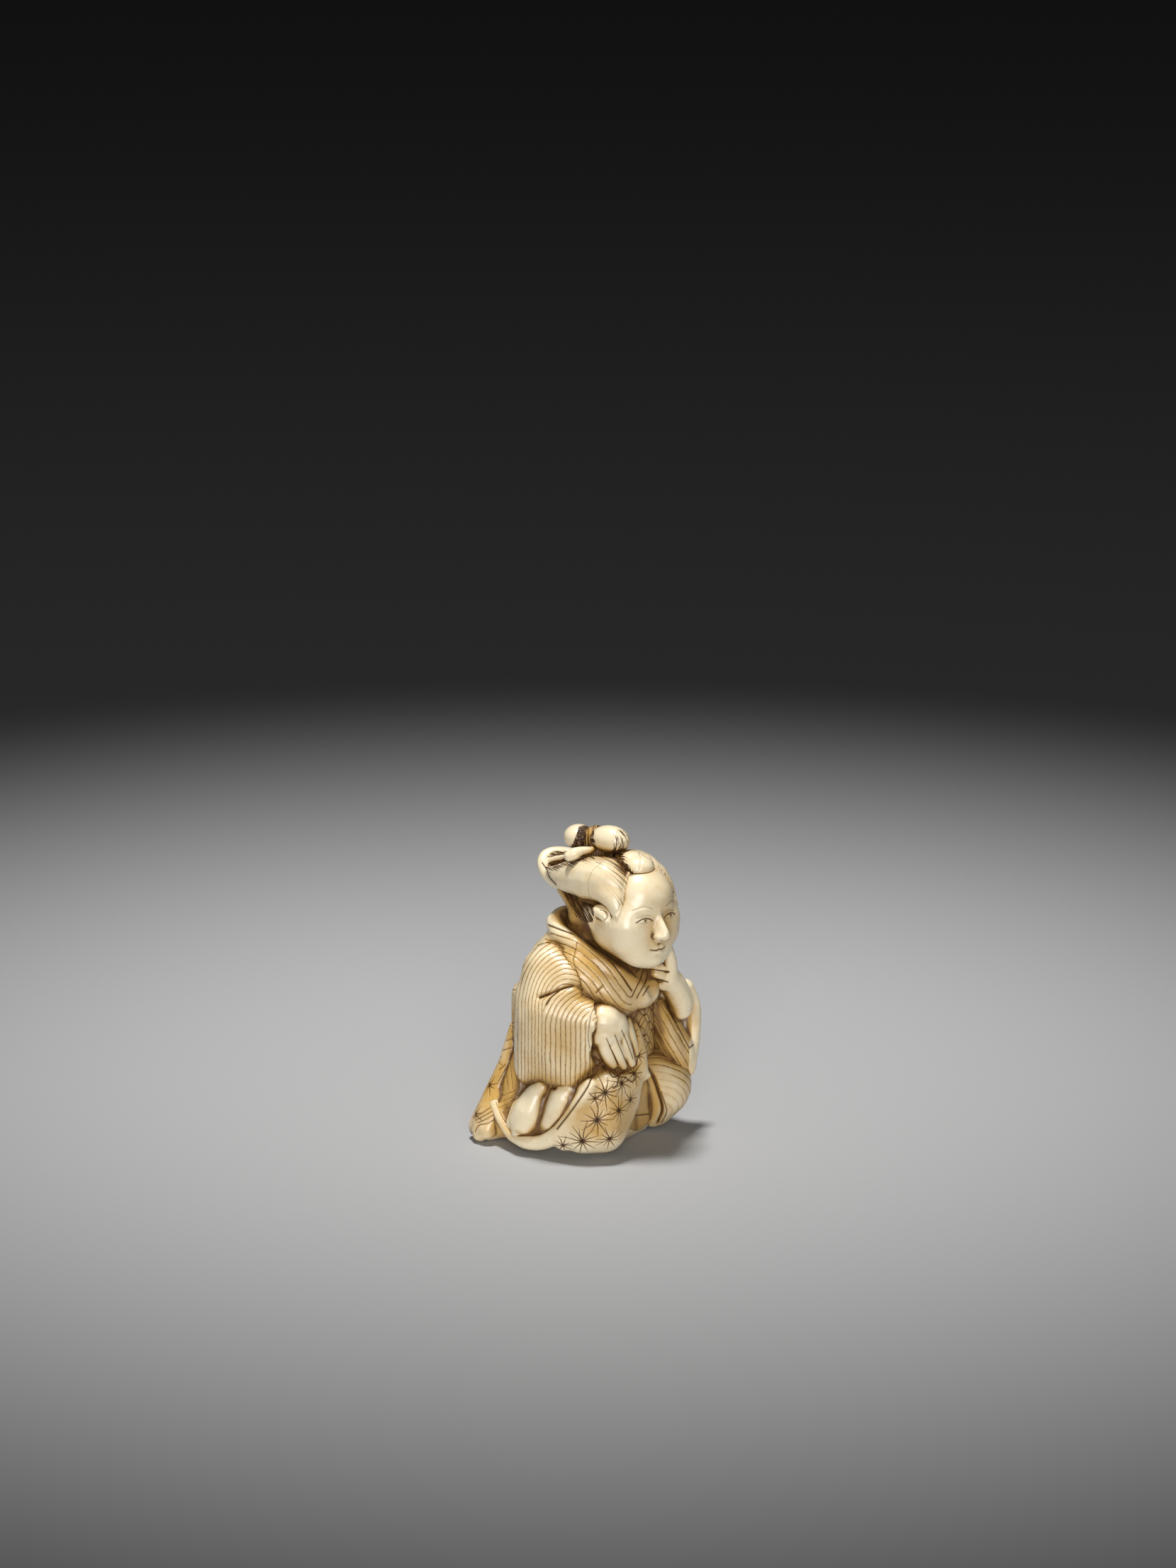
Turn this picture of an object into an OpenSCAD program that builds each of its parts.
// Seated lady in a kimono, a toggle carved in the round for the cord of a hanging pouch.
// The carving is divided along its carved lines. Each element is a closed solid that meets its
// neighbours face to face. Millimetres, +Z up, floor at Z = 0. The lady faces -Y and her right is -X.

/* [Body] */
// Height of the lap block, from the floor to the sash
seat_h = 12.4; // [11:0.2:15]
// Height of the sash
sash_h = 6.2; // [5:0.2:8]
// Height of the chest, from the sash to the root of the neck
chest_h = 7; // [5.6:0.2:8.6]
// Breadth across the shoulders, without the sleeves
shoulder_w = 17; // [14:0.5:21]
// Thickness of a shoulder
shoulder_d = 7.6; // [6.2:0.2:9.2]
// Breadth of the waist
waist_w = 14.4; // [13.8:0.2:17.4]
// Depth of the waist from front to back
waist_d = 13.6; // [11.2:0.2:14.2]
// Depth of the bow behind the waist
bow_d = 3; // [2.4:0.2:4]
// Breadth of the bow
bow_w = 12; // [9:0.2:15]
// Breadth of each tail of the bow
tail_w = 6.4; // [5:0.2:7.8]

/* [Head] */
// Breadth of the head at the temples
head_w = 11; // [9:0.2:13.4]
// Length of the head from forehead to nape
head_d = 11.6; // [9.6:0.2:14]
// Height of the head from chin to crown
head_h = 13.2; // [11:0.2:16]
// Turn of the face towards her right shoulder, in degrees
head_turn = 18; // [0:1:30]
// Diameter of the neck
neck_d = 5.6; // [4.6:0.2:7]
// Width of the collar band
collar_w = 2.2; // [1.6:0.1:3]

/* [Hair] */
// Length of the front topknot loop
loop_l = 4.8; // [4:0.2:6]
// Thickness of the topknot loops
loop_d = 3.4; // [2.8:0.2:4.2]
// Length of the hair bar through the topknot
bar_l = 10; // [8:0.5:12.5]
// Thickness of the hair bar
bar_d = 1.5; // [1.2:0.1:2]
// Thickness of the swept-back wing of hair
wing_d = 4; // [3.2:0.2:4.8]

/* [Arms] */
// Length of the right forearm, from elbow to wrist
forearm_l = 6.2; // [5:0.2:7]
// Thickness of the sleeve over the forearm
cuff_d = 5.2; // [4.2:0.2:6.2]
// Length of the right sleeve's hanging cloth below the elbow
sleeve_drop = 10.4; // [8.4:0.2:12.6]
// Breadth of a hand over the knuckles
hand_w = 4.8; // [3.8:0.2:5.8]
// Thickness of a finger
finger_d = 1.5; // [1.2:0.1:1.9]
// Length of a finger from knuckle to tip
finger_l = 3.6; // [3:0.2:4.4]

/* [Robe] */
// Breadth of the robe over the floor
robe_w = 22; // [18:0.5:26.5]
// Depth of the robe over the floor
robe_d = 23; // [19:0.5:27.5]
// Thickness of the left knee under the robe
knee_d = 9; // [7.4:0.2:10.8]
// Thickness of the rolled hem band
hem_d = 2.1; // [1.7:0.1:2.6]
// Thickness of each puffed fold of the lining
puff_d = 4.4; // [3.6:0.2:5.4]

/* [Cord holes] */
// Diameter of the larger cord hole, which takes the knot
knot_hole_d = 4.4; // [3.6:0.2:5.2]
// Diameter of the smaller cord hole and of the tunnel between the two
cord_hole_d = 3; // [2.4:0.2:3.6]
// Distance between the two holes at the underside
hole_pitch = 7.6; // [6.4:0.2:8.4]
// Depth of the holes
hole_depth = 5.6; // [4.6:0.2:6.8]

/* [Hidden] */
// The carving's order: each element is cut away where a later one lies
NODES = [
    "bow_tail_left", "bow_tail_right", "bow", "chest", "left_sleeve", "right_sleeve",
    "under_robe", "left_knee", "robe_train", "lining_fold_front", "lining_fold_rear",
    "right_robe_fold", "hem_band", "collar", "neck", "left_hand", "head",
    "side_hair_left", "side_hair_right", "back_hair", "forelock",
    "topknot_front_loop", "topknot_rear_loop", "topknot_tie", "hair_bar",
    "right_hand", "sash", "seat",
];

ivory = [0.93, 0.85, 0.68];
stained_ivory = [0.80, 0.66, 0.44];
hair_ivory = [0.72, 0.60, 0.42];

sash_z = seat_h + sash_h;
neck_z = sash_z + chest_h;
waist_y = -2.2;
front_y = waist_y - waist_d / 2;
back_y = waist_y + waist_d / 2;
shoulder_r = shoulder_d / 2;
cuff_r = cuff_d / 2;
finger_r = finger_d / 2;
knee_r = knee_d / 2;
puff_r = puff_d / 2;
wing_r = wing_d / 2;
loop_r = loop_d / 2;
bar_r = bar_d / 2;

// A bead is a centre and a radius, [x, y, z, r]
function bead(p, d, r) = [p[0] + d[0], p[1] + d[1], p[2] + d[2], r];
function from(p, d) = [p[0] + d[0], p[1] + d[1], p[2] + d[2]];
// Beads of the lower robe are written for a robe 22 wide, 23 deep and 12.4 high
function on_robe(b) = [b[0] * robe_w / 22, b[1] * robe_d / 23, b[2] * seat_h / 12.4, b[3]];
// Points and beads of the head are written for a head 11 wide, 11.6 long and 13.2 high
function at_head(p) = [p[0] * head_w / 11, p[1] * head_d / 11.6, p[2] * head_h / 13.2];
function on_head(b) = concat(at_head(b), [b[3]]);

module ball(b) {
    sides = b[3] < 1.2 ? 10 : b[3] < 3 ? 14 : 16;
    translate([b[0], b[1], b[2]]) sphere(r = b[3], $fn = sides);
}
module pad(beads) hull() for (b = beads) ball(b);
module limb(beads) for (i = [0 : len(beads) - 2]) pad([beads[i], beads[i + 1]]);
module robe_pad(beads) pad([for (b = beads) on_robe(b)]);
module robe_limb(beads) limb([for (b = beads) on_robe(b)]);
module head_pad(beads) pad([for (b = beads) on_head(b)]);
module head_limb(beads) limb([for (b = beads) on_head(b)]);
module below_floor() translate([-50, -50, -50]) cube([100, 100, 50]);

// Lap block under the robe
module seat_form() robe_pad([
    for (s = [-1, 1]) each [
        [s * 4.8, -4.4, 2.2, 2.4], [s * 4.8, 5.2, 2.2, 2.6],
        [s * 4.2, -3.6, 9.4, 3], [s * 3.8, 3, 9.4, 3],
    ],
]);

// Sash round the waist, between the lap and the chest
module sash_form() difference() {
    pad([
        for (s = [-1, 1], z = [seat_h - 2, sash_z - 1.2])
            [s * (waist_w - waist_d) / 2, waist_y, z, waist_d / 2],
    ]);
    translate([-25, -25, sash_z]) cube(50);
    translate([-25, -25, seat_h - 51.2]) cube(50);
}

// Chest and shoulders of the kimono
function shoulder(s) = [s * (shoulder_w / 2 - shoulder_r), 0.8, neck_z - shoulder_r + 0.2];
module chest_form() pad([
    for (s = [-1, 1]) each [
        bead(shoulder(s), [0, 0, 0], shoulder_r),
        bead(shoulder(s), [0, -3.2, 0], shoulder_r),
        bead(shoulder(s), [-s * 1.6, 1.2, 0.8], shoulder_r - 0.6),
        [s * waist_w * 0.18, front_y + 4.4, sash_z + 1.2, 4.6],
        [s * waist_w * 0.2, back_y - 4.6, sash_z + 1.6, 4.6],
        [s * 1.8, 1.2, neck_z - 1.2, 2.9],
    ],
]);

// Collar band, from the right breast round the back of the neck to the left breast
collar_back = [0, 3, neck_z + 2.1];
function collar_side(s) = [
    [s * 2.5, 2.5, neck_z + 1.9], [s * 4.1, 0.9, neck_z + 1.2], [s * 5.2, -2.2, neck_z + 0.2],
    [s * 5, -4.8, neck_z - 1.1], [s * 3.9, -7, neck_z - 2.7], [s * 0.7, front_y - 0.2, sash_z + 1],
];
module collar_form() {
    right_half = [for (i = [5 : -1 : 0]) collar_side(-1)[i]];
    path = concat(right_half, [collar_back], collar_side(1));
    limb([for (p = path) bead(p, [0, 0, 0], collar_w / 2)]);
}

// Head with its face turned towards her right, and the neck below it
head_c = [-0.4, -6.6, neck_z + 4.5];
module in_head(share = 1) translate(head_c) rotate([0, 0, -head_turn * share]) children();
module head_form() in_head() {
    head_pad([
        [0, 0.6, 1.2, 5], [0, -1.4, 1, 4.4], [0, -3, 2, 2.8], [0, -4, -4.9, 1.6],
        for (s = [-1, 1]) each [
            [s * 2.5, -2.8, -1, 2.6], [s * 2.4, -0.6, -2, 2.8], [s * 1.3, -3.6, -4.4, 1.8],
        ],
    ]);
    head_limb([[0, -5.3, 0.3, 0.5], [0, -6.1, -2.1, 0.8]]);
    for (s = [-1, 1]) head_pad([
        [s * 5, 0.4, 0.4, 0.8], [s * 5, 1.2, 0.6, 0.7], [s * 4.7, 0.5, -1.2, 0.7],
    ]);
}
module neck_form() limb([
    [0, 0.6, neck_z - 2.4, neck_d / 2 + 0.3], [-0.2, -1.2, neck_z + 2, neck_d / 2],
    bead(head_c, [0.3, 4.2, 1.6], neck_d / 2),
]);

// Hair: side panels drawn back from the face, a hollow wing at the nape, a forelock and a topknot
hair_turn_share = 0.35;
module in_hair() in_head(hair_turn_share) children();
module side_hair_form(s) in_hair() {
    head_pad([
        [s * 3.2, -1.9, 4, wing_r - 0.5], [s * 3.9, -0.8, 1.4, wing_r - 0.6],
        [s * 3.7, 1.6, 2.6, wing_r + 0.2], [s * 2.6, 1.4, 4.6, wing_r - 0.2],
        [s * 0.9, 2.4, 5.2, wing_r - 0.4], [s * 3.2, 3.4, 3.6, wing_r],
    ]);
    head_limb([[s * 4.2, -0.9, 1.4, 1.2], [s * 4.5, -1.4, -1.2, 0.7]]);
}
module back_hair_form() in_hair() {
    for (s = [-1, 1]) head_limb([
        [s * 3.6, 3.2, 3, wing_r + 0.2], [s * 3.1, 6.6, 3, wing_r],
        [s * 1.4, 10.8, 4, wing_r - 0.5], [0, 11.8, 4.5, wing_r - 0.7],
    ]);
    head_pad([
        [0, 5.4, 3, wing_r + 0.6], [0, 9, 3, wing_r - 0.4],
        for (s = [-1, 1]) [s * 2.6, 5.6, 3, wing_r - 0.2],
    ]);
}
module forelock_form() in_head() head_pad([
    [0, 0.8, 5.6, 1.5],
    for (s = [-1, 1]) each [[s * 1, -2.4, 5.6, 1.6], [s * 1.1, -4.2, 4.2, 1.3]],
]);
knot_c = [0, 4.8, 8];
module at_knot() in_hair() translate(at_head(knot_c)) children();
module front_loop_form() at_knot() pad([
    for (s = [-1, 1]) each [[s * 0.6, loop_r - loop_l, 0.2, loop_r], [s * 0.5, -1.1, 0, loop_r - 0.3]],
]);
module rear_loop_form() at_knot() pad([
    for (s = [-1, 1]) each [
        [s * 0.4, loop_l * 0.82 - loop_r, 0, loop_r - 0.1], [s * 0.4, 1, 0, loop_r - 0.3],
    ],
]);
module tie_form() at_knot() limb([[0, 0, -3, loop_r], [0, 0, 0, loop_r - 0.1]]);
module bar_form() at_knot() translate([0, 0.5, -1.4]) limb([
    [bar_r - bar_l / 2, 0.4, 0, bar_r], [-bar_l / 4, 0.1, 0.1, bar_r - 0.2],
    [bar_l / 4, 0.1, 0.1, bar_r - 0.2], [bar_l / 2 - bar_r, 0.4, 0, bar_r],
]);

// Right arm: the sleeve hangs from the forearm, and the hand rests on the folded robe
elbow_right = from(shoulder(-1), [-3.9, -1.2, -3.8]);
wrist_right = from(elbow_right, [1.9, -forearm_l, -1]);
sleeve_hem = elbow_right[2] - sleeve_drop;
module right_sleeve_form() {
    limb([
        bead(shoulder(-1), [-1, 0, 0], shoulder_r), bead(elbow_right, [0.2, 0, 0], cuff_r + 0.9),
        bead(wrist_right, [0, 0.4, 0], cuff_r),
    ]);
    pad([
        bead(shoulder(-1), [-1, 0, 0], shoulder_r),
        bead(shoulder(-1), [-1.4, -2.4, -0.6], shoulder_r - 0.4),
        bead(elbow_right, [0.4, -0.8, 0.2], cuff_r + 0.7),
    ]);
    pad([
        bead(shoulder(-1), [-2.2, 0.8, -2.4], shoulder_r - 0.6),
        bead(elbow_right, [0.3, 0.8, -1], cuff_r + 0.8),
        [elbow_right[0] + 1.6, 2.6, sleeve_hem + 2.4, 2.5],
        [elbow_right[0] + 0.9, -3.4, sleeve_hem + 2.4, 2.4],
        bead(wrist_right, [-0.8, 1.4, -1], cuff_r - 0.2),
    ]);
}
palm_right = from(wrist_right, [0.5, -1.8, -1.7]);
// Fingers are numbered from the little finger, 0, to the index finger, 3
function fan(i) = i - 1.5;
function knuckle_right(i) =
    from(palm_right, [0.4 + fan(i) * hand_w * 0.23, -0.3 - fan(i) * 0.3, -1.1 + fan(i) * 0.5]);
function tip_right(i) =
    from(knuckle_right(i), [0.9 - fan(i) * 0.1, -0.5, 0.4 - finger_l - fan(i) * 0.5]);
module right_hand_form() {
    pad([
        bead(wrist_right, [0, 0.6, 0], cuff_r - 0.5), bead(palm_right, [-1, 0.3, -0.4], 1.8),
        bead(palm_right, [1.2, -0.2, 0.3], 1.8), bead(palm_right, [0.2, 0.2, 0.4], 2),
    ]);
    for (i = [0 : 3]) limb([
        bead(palm_right, [fan(i) * 0.7, 0.3, 0], finger_r + 0.35),
        bead(knuckle_right(i), [0, 0, 0], finger_r + 0.15), bead(tip_right(i), [0, 0, 0], finger_r - 0.1),
    ]);
}

// Left arm: the elbow rests on the knee and one finger is raised to the chin
elbow_left = from(shoulder(1), [3, -6, -9]);
wrist_left = from(elbow_left, [-1.2, -3.8, 2.2]);
chin = from(head_c, [-head_d * 0.47 * sin(head_turn), -head_d * 0.47 * cos(head_turn), -head_h * 0.42]);
palm_left = from(chin, [5.2, 1.2, -3.8]);
module left_sleeve_form() {
    limb([
        bead(shoulder(1), [1, 0, 0], shoulder_r), bead(elbow_left, [0, 0.6, 0], cuff_r + 1),
        bead(wrist_left, [0.8, 1, -0.8], cuff_r),
    ]);
    pad([
        bead(shoulder(1), [1, 0, 0], shoulder_r), bead(shoulder(1), [1, -2.4, -0.6], shoulder_r - 0.4),
        bead(elbow_left, [0, 1.4, 1], cuff_r + 0.8),
    ]);
    pad([
        bead(shoulder(1), [2, 1, -4], shoulder_r - 1.4), bead(elbow_left, [0.8, 0.6, 0], cuff_r),
        bead(wrist_left, [1.9, 0.6, 0], 1.6), bead(elbow_left, [0.8, -2.2, -6], 1.7),
        bead(elbow_left, [0.6, 4, -5], 1.8),
    ]);
}
module left_hand_form() {
    limb([
        bead(wrist_left, [0.6, 0.6, -1], 2), bead(wrist_left, [-0.2, -0.2, 1.2], 1.8),
        bead(palm_left, [0.6, 0, -0.6], 1.7),
    ]);
    pad([
        bead(palm_left, [0.6, 0, -0.6], 1.7), bead(palm_left, [-0.6, 0, 1], 1.5),
        bead(palm_left, [0.2, -0.2, 1.4], 1.3),
    ]);
    limb([
        bead(palm_left, [-0.6, -0.5, 1.6], finger_r + 0.1), bead(chin, [2.4, -0.7, 0], finger_r),
        bead(chin, [1.5, -0.6, 2.4], finger_r - 0.1),
    ]);
    for (i = [0 : 2]) translate([0, 0, -i * finger_d * 0.73]) limb([
        bead(palm_left, [0.2, -0.6, 1.2], finger_r + 0.2), bead(palm_left, [-2.6, -0.5, 1.4], finger_r),
        bead(palm_left, [-3.8, 0.8, 1.4], finger_r - 0.1),
    ]);
}

// Robe over the legs, with its right side turned back to show the lining
module left_knee_form() {
    robe_pad([
        [6.5, -6.4, 6, knee_r + 0.1], [6.2, -5.8, 4.1, knee_r - 0.8], [3, -5.4, 9, 3.1],
        [7.2, 0.4, 4.4, knee_r - 0.6], [5.6, 0, 8.2, 3.1],
    ]);
    robe_pad([[7.2, 0.4, 4.2, knee_r - 0.6], [6.6, 5, 3.4, 3.2], [5.6, 0, 8.2, 3], [4.6, 4.6, 7, 2.6]]);
}
module under_robe_form() robe_pad([
    [1, -6.6, 7.4, 1.9], [2.2, -5.6, 3.2, 2.4], [-1.4, -6, 4.4, 2.2], [3.6, -5.4, 3.6, 2.2],
]);
module right_robe_fold_form() {
    pad([
        bead(tip_right(3), [0.4, 0.9, -1.2], 1.4), bead(tip_right(0), [-0.6, 0.9, -1.4], 1.6),
        for (b = [
            [-8.6, -6.2, 9, 1.5], [-8.2, -5, 3.5, 2.6], [-7, -7, 5.4, 2.7],
            [-5.8, -6.6, 3.3, 2.7], [-3.8, -7.8, 5.8, 1.9],
        ]) on_robe(b),
    ]);
    robe_limb([[-2.4, -8.6, 13.9, 0.9], [-2.1, -8.7, 11, 1.3], [-3.4, -7.9, 6.4, 1.9]]);
}
// The hem's path holds shares of its thickness in place of radii
hem_path = [
    [-9, 6.2, 5.8, 0.8], [-9.9, 5, 3.8, 1], [-10.4, 2.8, 2.2, 1.05], [-10.6, 0, 1.8, 1.1],
    [-10.6, -2.6, 2.7, 1.1], [-10.4, -4.7, 4.8, 1.1], [-9.9, -6.2, 7.7, 1], [-9.1, -7, 10, 0.8],
];
module hem_band_form() robe_limb([for (b = hem_path) [b[0], b[1], b[2], b[3] * hem_d / 2]]);
module lining_fold_front_form() {
    robe_limb([[-8.6, -2, 6.6, puff_r - 0.3], [-8.9, -1.8, 4.6, puff_r], [-8.7, -1, 2.8, puff_r - 0.3]]);
    robe_limb([[-8.6, -4.4, 7.6, puff_r - 1], [-8.9, -3.8, 4.8, puff_r - 0.8]]);
}
module lining_fold_rear_form() robe_limb([
    [-8.4, 2, 6.2, puff_r], [-8.9, 2.4, 4.2, puff_r + 0.2], [-8.6, 2.2, 2.8, puff_r],
]);
module robe_train_form() {
    robe_pad([
        for (s = [-1, 1]) each [[s * 6, 5.4, 3.2, 3], [s * 5.4, 8.3, 2.5, 2.4]],
        [-4.4, 4.6, 10.7, 2.3], [4.3, 4.5, 10.4, 2.3],
        [-6.6, 5, 5.4, 2],
    ]);
    robe_pad([[-6.8, 5, 3.4, 2.6], [-7.4, 7.2, 2.6, 2], [-8.1, 5.8, 4.4, 1.4]]);
    robe_limb([[-7.2, 7.6, 2.2, 1.8], [-8.3, 8.7, 1.1, 1.05]]);
}

// Bow of the sash, with its two tails down the back
bow_c = [0, back_y + bow_d / 2 - 0.4, seat_h + sash_h / 2];
module bow_form() {
    for (s = [-1, 1]) pad([
        bead(bow_c, [s * 0.8, 0, 0], bow_d / 2 - 0.2),
        for (z = [-2.6, 3]) bead(bow_c, [s * (bow_w - bow_d) / 2, 0, z], bow_d / 2),
    ]);
    pad([for (z = [-1.6, 1.6]) bead(bow_c, [0, 0.4, z], bow_d / 2)]);
}
module bow_tail_form(s) {
    half_w = tail_w / 2 - 1.2;
    top = from(bow_c, [s * 2.8, 0.8, -1.6]);
    bend = from(bow_c, [s * 3.5, 1.7, -6.4]);
    end = on_robe([s * 5.8, 10, 1.5, 0]);
    top_edge = [for (k = [-1, 1]) bead(top, [k * half_w * 0.8, 0, 0], 1.1)];
    bend_edge = [for (k = [-1, 1]) bead(bend, [k * half_w, 0, 0], 1.2)];
    end_edge = [for (k = [-1, 1]) bead(end, [k * half_w, 0, 0], 1.3)];
    for (k = [-1, 1]) limb([
        bead(top, [k * half_w * 0.8, 0, 0], 1.2), bead(bend, [k * half_w, 0, 0], 1.3),
        bead(end, [k * (half_w + 0.2), 0, 0], 1.4),
    ]);
    pad(concat(top_edge, bend_edge));
    pad(concat(bend_edge, end_edge));
}

module form(name) {
    if (name == "bow_tail_left") bow_tail_form(1);
    if (name == "bow_tail_right") bow_tail_form(-1);
    if (name == "bow") bow_form();
    if (name == "chest") chest_form();
    if (name == "left_sleeve") left_sleeve_form();
    if (name == "right_sleeve") right_sleeve_form();
    if (name == "under_robe") under_robe_form();
    if (name == "left_knee") left_knee_form();
    if (name == "robe_train") robe_train_form();
    if (name == "lining_fold_front") lining_fold_front_form();
    if (name == "lining_fold_rear") lining_fold_rear_form();
    if (name == "right_robe_fold") right_robe_fold_form();
    if (name == "hem_band") hem_band_form();
    if (name == "collar") collar_form();
    if (name == "neck") neck_form();
    if (name == "left_hand") left_hand_form();
    if (name == "head") head_form();
    if (name == "side_hair_left") side_hair_form(1);
    if (name == "side_hair_right") side_hair_form(-1);
    if (name == "back_hair") back_hair_form();
    if (name == "forelock") forelock_form();
    if (name == "topknot_front_loop") front_loop_form();
    if (name == "topknot_rear_loop") rear_loop_form();
    if (name == "topknot_tie") tie_form();
    if (name == "hair_bar") bar_form();
    if (name == "right_hand") right_hand_form();
    if (name == "sash") sash_form();
    if (name == "seat") seat_form();
}

// An element's own form without the floor and without the forms of all later elements
module carved(name) difference() {
    form(name);
    below_floor();
    for (later = [search([name], NODES)[0] + 1 : len(NODES) - 1]) form(NODES[later]);
}

module bow_tail_left() color(stained_ivory) carved("bow_tail_left");
module bow_tail_right() color(stained_ivory) carved("bow_tail_right");
module bow() color(stained_ivory) carved("bow");
module chest() color(ivory) carved("chest");
module left_sleeve() color(ivory) carved("left_sleeve");
module right_sleeve() color(ivory) carved("right_sleeve");
module under_robe() color(ivory) carved("under_robe");
module left_knee() color(ivory) carved("left_knee");
module robe_train() color(ivory) carved("robe_train");
module lining_fold_front() color(ivory) carved("lining_fold_front");
module lining_fold_rear() color(ivory) carved("lining_fold_rear");
module right_robe_fold() color(ivory) carved("right_robe_fold");
module hem_band() color(ivory) carved("hem_band");
module collar() color(ivory) carved("collar");
module neck() color(ivory) carved("neck");
module left_hand() color(ivory) carved("left_hand");
module head() color(ivory) carved("head");
module side_hair_left() color(hair_ivory) carved("side_hair_left");
module side_hair_right() color(hair_ivory) carved("side_hair_right");
module back_hair() color(hair_ivory) carved("back_hair");
module forelock() color(hair_ivory) carved("forelock");
module topknot_front_loop() color(hair_ivory) carved("topknot_front_loop");
module topknot_rear_loop() color(hair_ivory) carved("topknot_rear_loop");
module topknot_tie() color(stained_ivory) carved("topknot_tie");
module hair_bar() color(ivory) carved("hair_bar");
module right_hand() color(ivory) carved("right_hand");
module sash() color(stained_ivory) carved("sash");
// The lap block is cut by nothing later. Its underside has the pair of cord holes, joined by a tunnel
module seat() color(ivory) difference() {
    seat_form();
    below_floor();
    translate([-hole_pitch / 2, 0, -1]) cylinder(d = knot_hole_d, h = hole_depth + 1, $fn = 48);
    translate([hole_pitch / 2, 0, -1]) cylinder(d = cord_hole_d, h = hole_depth + 1, $fn = 48);
    translate([-hole_pitch / 2, 0, hole_depth - cord_hole_d / 2])
        rotate([0, 90, 0]) cylinder(d = cord_hole_d, h = hole_pitch, $fn = 48);
}

bow_tail_left();
bow_tail_right();
bow();
chest();
left_sleeve();
right_sleeve();
under_robe();
left_knee();
robe_train();
lining_fold_front();
lining_fold_rear();
right_robe_fold();
hem_band();
collar();
neck();
left_hand();
head();
side_hair_left();
side_hair_right();
back_hair();
forelock();
topknot_front_loop();
topknot_rear_loop();
topknot_tie();
hair_bar();
right_hand();
sash();
seat();
